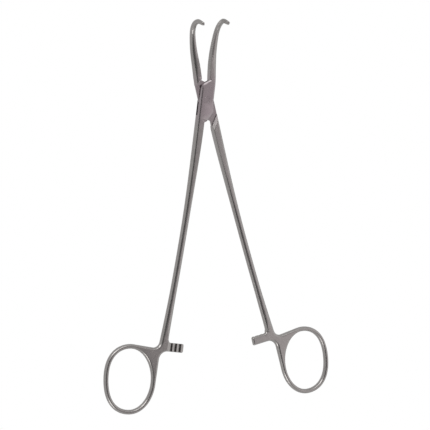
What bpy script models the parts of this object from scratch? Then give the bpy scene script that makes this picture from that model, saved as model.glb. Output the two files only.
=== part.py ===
"""Tonsil artery forceps, 190 mm long: two steel forgings joined by a box lock, and its rivet.

Each half is forged flat and then bent, and the script works in the same order. An outline with
round edges gives the ring, web, shank, cheeks and jaw. The jaw is curved upwards, and the slot,
shoulders, bores and teeth are cut last. The forceps lie flat, with the jaws towards +Y and
curved towards +Z. The pivot is the Z axis, and the resting face of the box lock is at Z = 0.
"""

import math

import bmesh
import bpy

MM = 0.001

# Opening of the two halves, as they lie
OPENING = math.radians(21.1)

# Box lock
LOCK_THICKNESS = 4.3 * MM
LOCK_WIDTH = 7.8 * MM
CHEEK_TOP = 9.4 * MM
CHEEK_SLOPE = math.radians(37)
CHEEK_FLARE = 0.45 * MM
CHEEK_CORNER = 5.5 * MM
CHEEK_BREAK = (1.55 * MM, 10.45 * MM)
TONGUE_BOTTOM = 10.6 * MM
SHOULDER_LOW = 7.9 * MM
SHOULDER_SLOPE = math.radians(52)
SHOULDER_BEVEL = 0.55 * MM
TONGUE_THICKNESS = 1.1 * MM
SLIDE_GAP = 0.25 * MM
SHOULDER_GAP = 0.3 * MM
SLOT_MOUTH = 4 * MM
RIVET_DIAMETER = 2.6 * MM
RIVET_SEAT_GAP = 0.12 * MM
RIVET_RUNNING_GAP = 0.2 * MM
CHEEK_SIDE_ROUNDING = 1.0 * MM
CHEEK_TOP_ROUNDING = 0.45 * MM
CHEEK_BOTTOM_ROUNDING = 0.75 * MM
SHANK_EDGE_ROUNDING = 0.35 * MM
NOTCH_DEPTH = 0.8 * MM
NOTCH_FILLET = 0.5 * MM

# Jaw, measured along its middle line from the pivot
JAW_CLEAR = 2 * MM
JAW_STRAIGHT = 19.5 * MM
JAW_SWEEP_RADIUS = 32 * MM
JAW_SWEEP = math.radians(23)
JAW_HOOK_RADIUS = 8.5 * MM
JAW_HOOK = math.radians(85.5)
JAW_TIP_STRAIGHT = 4.1 * MM
JAW_ROOT_WIDTH = 4.1 * MM
JAW_HOOK_WIDTH = 2.35 * MM
JAW_TIP_WIDTH = 1.4 * MM
JAW_HOOK_THICKNESS = 3.3 * MM
JAW_TIP_THICKNESS = 1.6 * MM
JAW_BACK_ROUNDING = 0.62
JAW_TIP_ROUNDING = 0.6 * MM
JAW_TIP_BACK_RADIUS = 0.63 * MM
JAW_TIP_FACE_RADIUS = 0.28 * MM
JAW_FACE_ROUNDING = 0.2 * MM
JAW_ROOT_PARTING = 0.45 * MM
JAW_SWERVE = 0.4 * MM
TOOTH_PITCH = 0.9 * MM
TOOTH_DEPTH = 0.3 * MM
TOOTH_GAP = 0.16 * MM
TOOTH_LAND = 0.1 * MM
GROOVE_LIFT = 0.03 * MM
SERRATED_FROM = 15 * MM
SERRATED_FULL = 18 * MM
TIP_PARTING = 0.17 * MM
TIP_PLAIN = 2.2 * MM
TOOTHLESS_TIP = 0.56 * MM

# Shank
SHANK_ROOT = 1.9 * MM
SHANK_ROOT_WIDTH = 4.03 * MM
SHANK_WIDTH = 3.15 * MM
SHANK_WEB_WIDTH = 3.9 * MM
SHANK_THICKNESS = 3.3 * MM
SHANK_SPREAD = 5.05 * MM
SHANK_BOW = 1.8
SHANK_TAPER_START = 15 * MM
SHANK_TAPER_END = 70 * MM
SHANK_NARROWED = 64 * MM
SHANK_FLARE = 26 * MM
EDGE_FULLNESS = 0.46

# Ratchet
BAR_NEAR = 117.85 * MM
BAR_HEIGHT = 4.25 * MM
BAR_REACH = 3.8 * MM
BAR_CORNER = 0.9 * MM
BAR_ROUNDING = 0.5 * MM
BAR_STEP = 4.9 * MM
BAR_STEP_SLOPE = 0.5 * MM
BAR_STEP_ABOVE = 0.6 * MM
RATCHET_TEETH = 3
RATCHET_PITCH = 2.25 * MM
RATCHET_DEPTH = 0.7 * MM
RATCHET_GAP = 0.4 * MM
RATCHET_LEAN = 0.25 * MM
RATCHET_LAND = 0.35 * MM

# Web and finger ring
WEB_THICKNESS = 3.4 * MM
WEB_CROTCH_FILLET = 3.3 * MM
WEB_RING_FILLET = 4.1 * MM
WEB_SHANK_FILLET = 1.9 * MM
WEB_OUTER_ROUNDING = 1.3 * MM
WEB_INNER_ROUNDING = 0.8 * MM
WEB_FLAT_START = 8 * MM
WEB_OUTER_LEAD = 2 * MM
WEB_INNER_LEAD = 3 * MM
CROTCH_ACROSS = 0.6 * MM
CROTCH_RISE = 0.2 * MM
RING_CORNER_ACROSS = 1.6 * MM
RING_THICKNESS = 3.2 * MM
RING_WIRE = 2.2 * MM
RING_CENTRE_ACROSS = 22.05 * MM
RING_CENTRE_DOWN = 136.8 * MM
RING_LENGTH = 31.1 * MM
RING_BREADTH = 24.1 * MM
RING_FULLNESS = 0.55 * MM
RING_TILT = math.radians(7.3)

# Making: how far a cutter reaches past what it cuts, and the fineness of the meshes
OVERCUT = 0.3 * MM
WELD = 0.001 * MM
EDGE_ROWS = 5
RING_STEPS = 44
ARC_STEP = math.radians(18)
SHANK_STEP = 7 * MM
JAW_STEP = 1.4 * MM
LOCK_SIDE_STEP = 9 * MM
ROUND_STEPS = 32

HALF_LOCK = LOCK_THICKNESS / 2
LOCK_SIDE = LOCK_WIDTH / 2
SHANK_TOP = 12.6 * MM
SHANK_BOTTOM = BAR_NEAR
HOOK_START = JAW_STRAIGHT + JAW_SWEEP_RADIUS * JAW_SWEEP
HOOK_END = HOOK_START + JAW_HOOK_RADIUS * JAW_HOOK
JAW_LENGTH = HOOK_END + JAW_TIP_STRAIGHT
JAW_TOE_IN = (RATCHET_TEETH - 1) * RATCHET_PITCH / 2 / (BAR_NEAR + BAR_HEIGHT / 2)


def clear_scene():
    for obj in list(bpy.data.objects):
        bpy.data.objects.remove(obj, do_unlink=True)


def new_collection(name):
    collection = bpy.data.collections.new(name)
    bpy.context.scene.collection.children.link(collection)
    return collection


def ease(value, start, end):
    """0 before start, 1 after end, and a smooth rise between."""
    share = min(max((value - start) / (end - start), 0), 1)
    return share * share * (3 - 2 * share)


def blend(first, second, share):
    return first + (second - first) * share


def jaw_turn(y):
    """How far the jaw has turned up at a distance along its middle line."""
    sweep = min(max(y - JAW_STRAIGHT, 0) / JAW_SWEEP_RADIUS, JAW_SWEEP)
    hook = min(max(y - HOOK_START, 0) / JAW_HOOK_RADIUS, JAW_HOOK)
    return sweep + hook


def bent_line(y):
    """The point (along, up) that a point of the middle line comes to when the jaw is bent."""
    sweep = jaw_turn(min(y, HOOK_START))
    turn = jaw_turn(y)
    along = min(y, JAW_STRAIGHT) + JAW_SWEEP_RADIUS * math.sin(sweep)
    up = JAW_SWEEP_RADIUS * (1 - math.cos(sweep))
    along += JAW_HOOK_RADIUS * (math.sin(turn) - math.sin(sweep))
    up += JAW_HOOK_RADIUS * (math.cos(sweep) - math.cos(turn))
    rest = max(y - HOOK_END, 0)
    return along + rest * math.cos(turn), up + rest * math.sin(turn)


# Laws of the flat forging: every half is drawn closed, with its ring at -X and its jaw at +X

def jaw_taper(y, root, hook, tip):
    """A size of the jaw that changes evenly from root to hook, and from hook to tip."""
    if y < HOOK_START:
        return blend(root, hook, (y - CHEEK_TOP) / (HOOK_START - CHEEK_TOP))
    return blend(hook, tip, (y - HOOK_START) / (JAW_LENGTH - HOOK_START))


def half_thickness(y):
    """Half of the forging's thickness at a height along it."""
    if y > CHEEK_TOP:
        return jaw_taper(y, LOCK_THICKNESS, JAW_HOOK_THICKNESS, JAW_TIP_THICKNESS) / 2
    shank = blend(HALF_LOCK, SHANK_THICKNESS / 2, ease(-y, SHANK_TAPER_START, SHANK_TAPER_END))
    web = blend(shank, WEB_THICKNESS / 2, ease(-y, BAR_NEAR - SHANK_FLARE, BAR_NEAR))
    ring_top = RING_CENTRE_DOWN - RING_LENGTH / 2
    return blend(web, RING_THICKNESS / 2, ease(-y, ring_top, RING_CENTRE_DOWN))


def shank_centre(y):
    share = (-y - SHANK_TOP) / (SHANK_BOTTOM - SHANK_TOP)
    return -(SHANK_ROOT + SHANK_SPREAD * max(share, 0) ** SHANK_BOW)


def shank_width(y):
    narrowed = blend(SHANK_ROOT_WIDTH, SHANK_WIDTH, ease(-y, SHANK_TOP, SHANK_NARROWED))
    return blend(narrowed, SHANK_WEB_WIDTH, ease(-y, BAR_NEAR - SHANK_FLARE, BAR_NEAR))


def shank_edge(y, side):
    """Point on the shank's outer (side -1) or inner (side 1) edge, with its rounding."""
    width = shank_width(y)
    full = EDGE_FULLNESS * width
    root = CHEEK_SIDE_ROUNDING if side < 0 else SHANK_EDGE_ROUNDING
    rounding = blend(root, full, ease(-y, SHANK_TOP, SHANK_TAPER_END))
    foot = WEB_OUTER_ROUNDING if side < 0 else WEB_INNER_ROUNDING
    rounding = blend(rounding, foot, ease(-y, BAR_NEAR - WEB_FLAT_START, BAR_NEAR))
    return (shank_centre(y) + side * width / 2, y, rounding)


def jaw_line(y, swerve):
    """The line that the jaw follows: toed in, and with its tip a little to one side.

    The jaws meet when the first ratchet teeth catch, two pitches before the bars are home.
    """
    reach, _ = bent_line(y)
    late = max(y - SERRATED_FROM, 0) / (JAW_LENGTH - SERRATED_FROM)
    return (TOOTH_GAP - TOOTH_DEPTH) / 2 - JAW_TOE_IN * reach - swerve * late * late


def jaw_face(y, swerve):
    """Where the crests of the jaw's face lie: on its line, but parted at the root and the tip."""
    parting = JAW_ROOT_PARTING * (1 - ease(y, CHEEK_TOP, SERRATED_FULL))
    parting += TIP_PARTING * ease(y, JAW_LENGTH - TIP_PLAIN, JAW_LENGTH - TIP_PLAIN / 2)
    return jaw_line(y, swerve) + parting


def ring_point(angle, growth):
    """Point that lies a growth outside the ring's middle line: an ellipse, fuller on its outer side."""
    if math.cos(angle) < 0:
        growth += RING_FULLNESS * math.sin(2 * angle) ** 2
    along = (RING_LENGTH / 2 + growth) * math.sin(angle)
    across = (RING_BREADTH / 2 + growth) * math.cos(angle)
    turn, lean = math.cos(RING_TILT), math.sin(RING_TILT)
    x = across * turn - along * lean
    y = across * lean + along * turn
    return (x - RING_CENTRE_ACROSS, y - RING_CENTRE_DOWN)


def tangent_angle(point, growth, side):
    """Angle on that ellipse where the straight line to a point outside it touches it."""
    dx, dy = point[0] + RING_CENTRE_ACROSS, point[1] + RING_CENTRE_DOWN
    turn, lean = math.cos(RING_TILT), math.sin(RING_TILT)
    across = (dx * turn + dy * lean) / (RING_BREADTH / 2 + growth)
    along = (dy * turn - dx * lean) / (RING_LENGTH / 2 + growth)
    return math.atan2(along, across) + side * math.acos(1 / math.hypot(across, along))


def corner(before, at, after, radius, rounding, end_rounding=None):
    """Points of the arc that rounds a corner of the outline."""
    first = (before[0] - at[0], before[1] - at[1])
    second = (after[0] - at[0], after[1] - at[1])
    first_length, second_length = math.hypot(*first), math.hypot(*second)
    first = (first[0] / first_length, first[1] / first_length)
    second = (second[0] / second_length, second[1] / second_length)
    between = math.acos(first[0] * second[0] + first[1] * second[1])
    middle = (first[0] + second[0], first[1] + second[1])
    middle_length = math.hypot(*middle)
    away = radius / math.sin(between / 2)
    centre = (at[0] + middle[0] / middle_length * away, at[1] + middle[1] / middle_length * away)
    reach = radius / math.tan(between / 2)
    start = (at[0] + first[0] * reach - centre[0], at[1] + first[1] * reach - centre[1])
    end = (at[0] + second[0] * reach - centre[0], at[1] + second[1] * reach - centre[1])
    turn = math.atan2(start[0] * end[1] - start[1] * end[0], start[0] * end[0] + start[1] * end[1])
    steps = max(2, round(abs(turn) / ARC_STEP))
    points = []
    for step in range(steps + 1):
        angle = turn * step / steps
        x = start[0] * math.cos(angle) - start[1] * math.sin(angle)
        y = start[0] * math.sin(angle) + start[1] * math.cos(angle)
        edge = rounding if end_rounding is None else blend(rounding, end_rounding, step / steps)
        points.append((centre[0] + x, centre[1] + y, edge))
    return points


def stations(start, end, longest):
    """Heights from start to end, both included, in equal steps."""
    steps = max(1, round(abs(end - start) / longest))
    return [blend(start, end, step / steps) for step in range(steps + 1)]


def cheek_top(x):
    """Height of the cheeks' oblique top edge."""
    return CHEEK_TOP + x * math.tan(CHEEK_SLOPE)


def lock_side_points(side, low):
    """A side of the box lock, from the jaw end down to a height."""
    top = CHEEK_TOP if side > 0 else cheek_top(-LOCK_SIDE)
    heights = stations(top - 1.2 * CHEEK_SIDE_ROUNDING, low, LOCK_SIDE_STEP)
    return [(side * LOCK_SIDE, y, CHEEK_SIDE_ROUNDING) for y in heights]


def cheek_foot_points():
    """Lower end of the cheeks: from the shank, steeply up to the flared corner."""
    edge = CHEEK_BOTTOM_ROUNDING
    inner = shank_edge(-SHANK_TOP, 1)
    notch = (inner[0], -CHEEK_BREAK[1] - NOTCH_DEPTH)
    bend = (CHEEK_BREAK[0], -CHEEK_BREAK[1])
    tip = (LOCK_SIDE + CHEEK_FLARE, -CHEEK_CORNER)
    side = (LOCK_SIDE, 0)
    points = corner(inner, notch, bend, NOTCH_FILLET, SHANK_EDGE_ROUNDING)
    points += [(*bend, edge)]
    points += corner(bend, tip, side, edge, edge)
    return points


def tongue_foot_points():
    """Lower end of the tongue. It is hidden in the slot, and stops at the slot's wall."""
    inner = shank_edge(-SHANK_TOP, 1)
    edge = SHANK_EDGE_ROUNDING
    slope = math.tan(CHEEK_SLOPE)
    notch = (inner[0], -TONGUE_BOTTOM + inner[0] * slope)
    tip = (LOCK_SIDE, -TONGUE_BOTTOM + LOCK_SIDE * slope)
    return [(*notch, edge)] + corner(notch, tip, (LOCK_SIDE, 0), edge * 1.2, edge)


def jaw_points(swerve):
    """The jaw's outline, up its back, round its tip and down its face."""
    back, face = [], []
    tip = JAW_LENGTH - 1.6 * JAW_TIP_BACK_RADIUS
    for y in stations(CHEEK_TOP + JAW_CLEAR, tip, JAW_STEP):
        width = jaw_taper(y, JAW_ROOT_WIDTH, JAW_HOOK_WIDTH, JAW_TIP_WIDTH)
        rounding = blend(CHEEK_SIDE_ROUNDING, JAW_BACK_ROUNDING * width, ease(y, CHEEK_TOP, JAW_STRAIGHT))
        rounding = blend(rounding, JAW_TIP_ROUNDING, ease(y, tip - JAW_TIP_STRAIGHT, tip))
        back.append((jaw_line(y, swerve) + width, y, rounding))
        face.append((jaw_face(y, swerve), y, JAW_FACE_ROUNDING))
    inner = jaw_face(JAW_LENGTH, swerve)
    low, high = (inner + JAW_TIP_WIDTH, JAW_LENGTH), (inner, JAW_LENGTH)
    end = corner(back[-1], low, high, JAW_TIP_BACK_RADIUS, JAW_TIP_ROUNDING)
    end += corner(low, high, face[-1], JAW_TIP_FACE_RADIUS, JAW_FACE_ROUNDING)
    return back + end + face[::-1]


def web_points():
    """From the foot of the shank's outer edge round the ring and the ratchet bar."""
    growth = RING_WIRE / 2
    edge = EDGE_FULLNESS * RING_WIRE
    bar_far = BAR_NEAR + BAR_HEIGHT
    outer_foot = shank_edge(-BAR_NEAR, -1)
    crotch = (outer_foot[0] - CROTCH_ACROSS, -RING_CENTRE_DOWN + RING_LENGTH / 2 + CROTCH_RISE)
    ring_corner = (-RING_CENTRE_ACROSS + RING_BREADTH / 2 + RING_CORNER_ACROSS, -bar_far)
    first = tangent_angle(crotch, growth, 1)
    last = tangent_angle(ring_corner, growth, -1) + 2 * math.pi
    points = corner(
        outer_foot, crotch, ring_point(first, growth), WEB_CROTCH_FILLET, WEB_OUTER_ROUNDING
    )
    for angle in stations(first, last, 2 * math.pi / RING_STEPS):
        points.append((*ring_point(angle, growth), edge))
    end_far, end_near = (BAR_REACH, -bar_far), (BAR_REACH, -BAR_NEAR)
    inner_foot = shank_edge(-BAR_NEAR, 1)
    above = shank_edge(-BAR_NEAR + SHANK_STEP, 1)
    points += corner(
        points[-1], ring_corner, end_far, WEB_RING_FILLET, WEB_OUTER_ROUNDING, BAR_ROUNDING
    )
    points += corner(ring_corner, end_far, end_near, BAR_CORNER, BAR_ROUNDING)
    points += corner(end_far, end_near, inner_foot, BAR_CORNER, BAR_ROUNDING)
    points += corner(
        end_near, inner_foot, above, WEB_SHANK_FILLET, BAR_ROUNDING, WEB_INNER_ROUNDING
    )
    return points


def outline_points(swerve, foot):
    """The whole closed outline of one half, anticlockwise, each point with its edge rounding."""
    edge = CHEEK_TOP_ROUNDING
    inner = jaw_face(CHEEK_TOP, swerve)
    notch = (inner, cheek_top(inner))
    tip = (-LOCK_SIDE, cheek_top(-LOCK_SIDE))
    left = lock_side_points(-1, -TONGUE_BOTTOM + CHEEK_SIDE_ROUNDING)
    right = lock_side_points(1, 0)[::-1]
    down = stations(SHANK_TOP, BAR_NEAR - WEB_OUTER_LEAD, SHANK_STEP)
    up = stations(BAR_NEAR - WEB_INNER_LEAD, SHANK_TOP, SHANK_STEP)
    outer = [shank_edge(-y, -1) for y in down]
    inward_edge = [shank_edge(-y, 1) for y in up]
    points = [(*notch, edge)]
    points += corner(notch, tip, left[0], edge * 1.2, edge)
    points += left + outer + web_points() + inward_edge
    points += foot + right + jaw_points(swerve)
    return points


def ring_hole_points():
    """The finger hole, clockwise, so that the material is on its left too."""
    growth = -RING_WIRE / 2
    angles = [-2 * math.pi * step / RING_STEPS for step in range(RING_STEPS)]
    return [(*ring_point(angle, growth), EDGE_FULLNESS * RING_WIRE) for angle in angles]


def inward(points):
    """For each point, the move that shifts both of its edges inwards by 1."""
    moves = []
    for index, (x, y, _) in enumerate(points):
        before, after = points[index - 1], points[(index + 1) % len(points)]
        first = math.atan2(y - before[1], x - before[0])
        second = math.atan2(after[1] - y, after[0] - x)
        turn = (second - first + math.pi) % (2 * math.pi) - math.pi
        normal = first + turn / 2 + math.pi / 2
        reach = 1 / max(math.cos(turn / 2), 0.5)
        moves.append((math.cos(normal) * reach, math.sin(normal) * reach))
    return moves


def curve_jaw(co):
    """Bends the flat forging: each cross-section follows the jaw's middle line up."""
    if co.y <= JAW_STRAIGHT:
        return
    turn = jaw_turn(co.y)
    along, up = bent_line(co.y)
    co.y = along - co.z * math.sin(turn)
    co.z = up + co.z * math.cos(turn)


def edge_rows(bm, points):
    """Rows of the outline that step inwards and up to each face, as a round edge does."""
    moves = inward(points)
    rows = []
    for row in range(-EDGE_ROWS, EDGE_ROWS + 1):
        angle = math.pi / 2 * row / EDGE_ROWS
        verts = []
        for (x, y, rounding), move in zip(points, moves):
            inset = rounding * (1 - math.cos(angle))
            height = half_thickness(y) * math.sin(angle)
            verts.append(bm.verts.new((x + move[0] * inset, y + move[1] * inset, height)))
        rows.append(verts)
    for lower, upper in zip(rows, rows[1:]):
        for index in range(len(lower)):
            following = (index + 1) % len(lower)
            bm.faces.new((lower[index], lower[following], upper[following], upper[index]))
    return rows[0], rows[-1]


def close_face(bm, loops):
    """Fills the flat face between the outer row and the row round the hole."""
    edges = []
    for loop in loops:
        for index, vert in enumerate(loop):
            edges.append(bm.edges.get((vert, loop[(index + 1) % len(loop)])))
    bmesh.ops.triangle_fill(bm, use_beauty=True, edges=edges, normal=(0, 0, 1))


def finish_mesh(obj, sharp_from=40):
    obj.data.shade_smooth()
    obj.data.set_sharp_from_angle(angle=math.radians(sharp_from))


def new_object(name, mesh, collection):
    obj = bpy.data.objects.new(name, mesh)
    collection.objects.link(obj)
    return obj


def forging(name, mirrored, collection):
    """One half in the round: outline with round edges, finger hole, and jaw bent up."""
    bm = bmesh.new()
    swerve = -JAW_SWERVE if mirrored else JAW_SWERVE
    foot = tongue_foot_points() if mirrored else cheek_foot_points()
    loops = [edge_rows(bm, points) for points in (outline_points(swerve, foot), ring_hole_points())]
    close_face(bm, [low for low, _ in loops])
    close_face(bm, [high for _, high in loops])
    for vert in bm.verts:
        curve_jaw(vert.co)
        if mirrored:
            vert.co.x = -vert.co.x
    bmesh.ops.triangulate(bm, faces=bm.faces)
    bmesh.ops.recalc_face_normals(bm, faces=bm.faces)
    mesh = bpy.data.meshes.new(name)
    bm.to_mesh(mesh)
    bm.free()
    obj = new_object(name, mesh, collection)
    finish_mesh(obj)
    return obj


def plate(name, outline, low, high, collection):
    """A flat plate with straight sides, from a 2D curve that is made a mesh."""
    curve = bpy.data.curves.new(name, "CURVE")
    curve.dimensions = "2D"
    curve.fill_mode = "BOTH"
    curve.extrude = (high - low) / 2
    spline = curve.splines.new("POLY")
    spline.points.add(len(outline) - 1)
    for point, (x, y) in zip(spline.points, outline):
        point.co = (x, y, 0, 1)
    spline.use_cyclic_u = True
    drawn = new_object(name + "_outline", curve, collection)
    bpy.context.view_layer.update()
    graph = bpy.context.evaluated_depsgraph_get()
    mesh = bpy.data.meshes.new_from_object(drawn.evaluated_get(graph))
    bpy.data.objects.remove(drawn)
    bm = bmesh.new()
    bm.from_mesh(mesh)
    bmesh.ops.remove_doubles(bm, verts=bm.verts, dist=WELD)
    bmesh.ops.translate(bm, verts=bm.verts, vec=(0, 0, (low + high) / 2))
    bmesh.ops.recalc_face_normals(bm, faces=bm.faces)
    bm.to_mesh(mesh)
    bm.free()
    return new_object(name, mesh, collection)


def hide_helper(obj, parent):
    obj.parent = parent
    obj.hide_render = True
    obj.display_type = "WIRE"


def apply_boolean(obj, helper, operation):
    modifier = obj.modifiers.new(helper.name, "BOOLEAN")
    modifier.operation = operation
    modifier.object = helper


def round_bar(name, radius, low, high, collection):
    """A round bar along Z, on the pivot's axis."""
    bm = bmesh.new()
    bmesh.ops.create_cone(
        bm, cap_ends=True, segments=ROUND_STEPS, radius1=radius, radius2=radius, depth=high - low
    )
    bmesh.ops.translate(bm, verts=bm.verts, vec=(0, 0, (low + high) / 2))
    mesh = bpy.data.meshes.new(name)
    bm.to_mesh(mesh)
    bm.free()
    obj = new_object(name, mesh, collection)
    finish_mesh(obj)
    return obj


def slot_outline():
    """The space for the tongue: open at both sides, closed at the roots of shank and jaw."""
    gap = SHOULDER_GAP / math.cos(CHEEK_SLOPE)
    reach = 2 * LOCK_SIDE
    rise = reach * math.tan(CHEEK_SLOPE)
    low, high = -TONGUE_BOTTOM - gap, CHEEK_TOP + gap
    right = [(reach, low - SLOT_MOUTH), (reach, high - rise)]
    return [(-reach, low + rise), (0, low), *right, (0, high), (-reach, high)]


def recess_outline():
    """The space for a cheek beside the tongue: a band between two shoulders."""
    reach = 2 * LOCK_SIDE
    high = CHEEK_TOP + SHOULDER_GAP / math.cos(CHEEK_SLOPE)
    rise = reach * math.tan(CHEEK_SLOPE)
    slope = math.tan(SHOULDER_SLOPE)
    left, right = reach + LOCK_SIDE, reach - LOCK_SIDE
    low_left, low_right = -SHOULDER_LOW - left * slope, -SHOULDER_LOW + right * slope
    return [(-reach, low_left), (reach, low_right), (reach, high + rise), (-reach, high - rise)]


def shoulder_bevel(name, side, collection):
    """A cutter that breaks the shoulder's edge at 45 degrees, on the front (side 1) or the back."""
    low, high = HALF_LOCK - SHOULDER_BEVEL - OVERCUT, HALF_LOCK + OVERCUT
    cutter = plate(name, recess_outline(), low, high, collection)
    for vert in cutter.data.vertices:
        if vert.co.y < 0:
            beyond = vert.co.z - HALF_LOCK + SHOULDER_BEVEL
            vert.co.y -= beyond / math.cos(SHOULDER_SLOPE)
        else:
            vert.co.y -= LOCK_SIDE
        vert.co.z *= side
    if side < 0:
        cutter.data.flip_normals()
    return cutter


def serration_cutter(name, mirrored, collection):
    """V-grooves across the jaw's face. The other jaw's are half a pitch away, so they mesh."""
    bm = bmesh.new()
    swerve = -JAW_SWERVE if mirrored else JAW_SWERVE
    start = SERRATED_FROM + (TOOTH_PITCH / 2 if mirrored else 0)
    count = int((JAW_LENGTH - TOOTHLESS_TIP - start) / TOOTH_PITCH)
    half_mouth = (TOOTH_PITCH - TOOTH_LAND) / 2
    half_width = half_mouth * (TOOTH_DEPTH + GROOVE_LIFT) / TOOTH_DEPTH
    for tooth in range(count):
        middle = start + tooth * TOOTH_PITCH
        half = half_thickness(middle) + OVERCUT
        section = [(jaw_face(middle, swerve) + TOOTH_DEPTH, middle)]
        for y in (middle + half_width, middle - half_width):
            section.append((jaw_face(y, swerve) - GROOVE_LIFT, y))
        ends = []
        for z in (-half, half):
            ends.append([bm.verts.new((x, y, z)) for x, y in section])
        bm.faces.new(ends[0][::-1])
        bm.faces.new(ends[1])
        for index in range(3):
            following = (index + 1) % 3
            bm.faces.new((ends[0][index], ends[0][following], ends[1][following], ends[1][index]))
    for vert in bm.verts:
        curve_jaw(vert.co)
        if mirrored:
            vert.co.x = -vert.co.x
    bmesh.ops.recalc_face_normals(bm, faces=bm.faces)
    mesh = bpy.data.meshes.new(name)
    bm.to_mesh(mesh)
    bm.free()
    return new_object(name, mesh, collection)


def ratchet_tooth_outline():
    """The space above the female bar in X and Z: a step down from the web, then the sawtooth line."""
    crest = RATCHET_DEPTH / 2 - RATCHET_GAP / 2
    valley = crest - RATCHET_DEPTH
    above = WEB_THICKNESS / 2 + OVERCUT
    first = -(RATCHET_TEETH - 1) / 2 * RATCHET_PITCH + RATCHET_GAP / 4
    line = [(-BAR_STEP - BAR_STEP_SLOPE, above), (-BAR_STEP, crest)]
    for tooth in range(RATCHET_TEETH):
        steep = first + tooth * RATCHET_PITCH
        line += [(steep - RATCHET_LEAN, valley), (steep, crest), (steep + RATCHET_LAND, crest)]
    beyond = first + RATCHET_TEETH * RATCHET_PITCH - RATCHET_LEAN
    return line + [(beyond, valley), (beyond, above)]


def ratchet_cutter(name, side, helpers):
    """Cuts a bar down to its ratchet teeth: side -1 teeth up, 1 teeth down and mirrored."""
    low, high = -BAR_HEIGHT / 2 - BAR_STEP_ABOVE, BAR_HEIGHT
    cutter = plate(name, ratchet_tooth_outline(), low, high, helpers)
    for vert in cutter.data.vertices:
        x, z, y = vert.co
        vert.co = (-side * x, -y - BAR_NEAR - BAR_HEIGHT / 2, -side * z)
    bm = bmesh.new()
    bm.from_mesh(cutter.data)
    bmesh.ops.recalc_face_normals(bm, faces=bm.faces)
    bm.to_mesh(cutter.data)
    bm.free()
    return cutter


def steel(name, colour, roughness):
    material = bpy.data.materials.new(name)
    material.use_nodes = True
    shader = material.node_tree.nodes["Principled BSDF"]
    shader.inputs["Base Color"].default_value = (*colour, 1)
    shader.inputs["Roughness"].default_value = roughness
    shader.inputs["Metallic"].default_value = 1
    return material


def box_lock_half(parts, helpers):
    """The half with the two cheeks. The slot between them takes the tongue."""
    half = forging("box_lock_half", False, parts)
    half.data.materials.append(steel("satin steel, box half", (0.47, 0.45, 0.45), 0.38))
    half_slot = TONGUE_THICKNESS / 2 + SLIDE_GAP
    slot = plate("tongue_slot", slot_outline(), -half_slot, half_slot, helpers)
    past = HALF_LOCK + OVERCUT
    seat = round_bar("rivet_seat", RIVET_DIAMETER / 2 + RIVET_SEAT_GAP, -past, past, helpers)
    grooves = serration_cutter("box_jaw_grooves", False, helpers)
    teeth = ratchet_cutter("box_ratchet_teeth", -1, helpers)
    for cutter in (slot, seat, grooves, teeth):
        hide_helper(cutter, half)
        apply_boolean(half, cutter, "DIFFERENCE")
    return half


def tongue_half(parts, helpers):
    """The half that is thinned to a tongue and passes through the slot."""
    half = forging("tongue_half", True, parts)
    half.data.materials.append(steel("satin steel, tongue half", (0.46, 0.44, 0.44), 0.38))
    face, above = TONGUE_THICKNESS / 2, HALF_LOCK + OVERCUT
    bore = round_bar("rivet_bore", RIVET_DIAMETER / 2 + RIVET_RUNNING_GAP, -above, above, helpers)
    grooves = serration_cutter("tongue_jaw_grooves", True, helpers)
    front = plate("front_recess", recess_outline(), face, above, helpers)
    back = plate("back_recess", recess_outline(), -above, -face, helpers)
    front_bevel = shoulder_bevel("front_shoulder_bevel", 1, helpers)
    back_bevel = shoulder_bevel("back_shoulder_bevel", -1, helpers)
    teeth = ratchet_cutter("tongue_ratchet_teeth", 1, helpers)
    for cutter in (front, back, front_bevel, back_bevel, bore, grooves, teeth):
        hide_helper(cutter, half)
        apply_boolean(half, cutter, "DIFFERENCE")
    return half


def joint_rivet(parts):
    rivet = round_bar("joint_rivet", RIVET_DIAMETER / 2, -HALF_LOCK, HALF_LOCK, parts)
    rivet.data.materials.append(steel("satin steel, rivet", (0.47, 0.45, 0.45), 0.38))
    return rivet


def main():
    clear_scene()
    parts = new_collection("tonsil_artery_forceps")
    helpers = new_collection("cutters")
    box_half = box_lock_half(parts, helpers)
    tongue = tongue_half(parts, helpers)
    rivet = joint_rivet(parts)
    for obj, turn in ((box_half, -OPENING / 2), (tongue, OPENING / 2), (rivet, -OPENING / 2)):
        obj.location = (0, 0, HALF_LOCK)
        obj.rotation_euler = (0, 0, turn)


main()
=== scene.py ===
"""Looks of the tonsil artery forceps: two satin steel halves, their rivet, and a plain studio.

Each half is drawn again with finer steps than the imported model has, in the same place and with
the same sizes, so that its round edges, teeth and serrations read as machined steel.
"""

import math

import bmesh
import bpy
from mathutils import Matrix, Vector


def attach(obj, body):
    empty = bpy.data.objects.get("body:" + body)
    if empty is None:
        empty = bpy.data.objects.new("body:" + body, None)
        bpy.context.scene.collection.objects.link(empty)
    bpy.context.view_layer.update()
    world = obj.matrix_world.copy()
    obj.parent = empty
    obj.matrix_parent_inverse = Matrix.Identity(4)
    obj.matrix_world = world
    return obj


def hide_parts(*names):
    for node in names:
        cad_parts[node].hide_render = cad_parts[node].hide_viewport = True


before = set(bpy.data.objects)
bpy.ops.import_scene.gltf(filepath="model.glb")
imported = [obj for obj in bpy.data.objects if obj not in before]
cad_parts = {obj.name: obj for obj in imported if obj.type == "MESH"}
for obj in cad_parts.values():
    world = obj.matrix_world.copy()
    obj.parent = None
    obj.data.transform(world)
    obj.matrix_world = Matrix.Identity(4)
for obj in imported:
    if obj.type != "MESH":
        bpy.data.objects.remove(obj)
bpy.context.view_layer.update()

MM = 0.001

# Opening of the two halves, as they lie
OPENING = math.radians(21.1)

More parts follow.
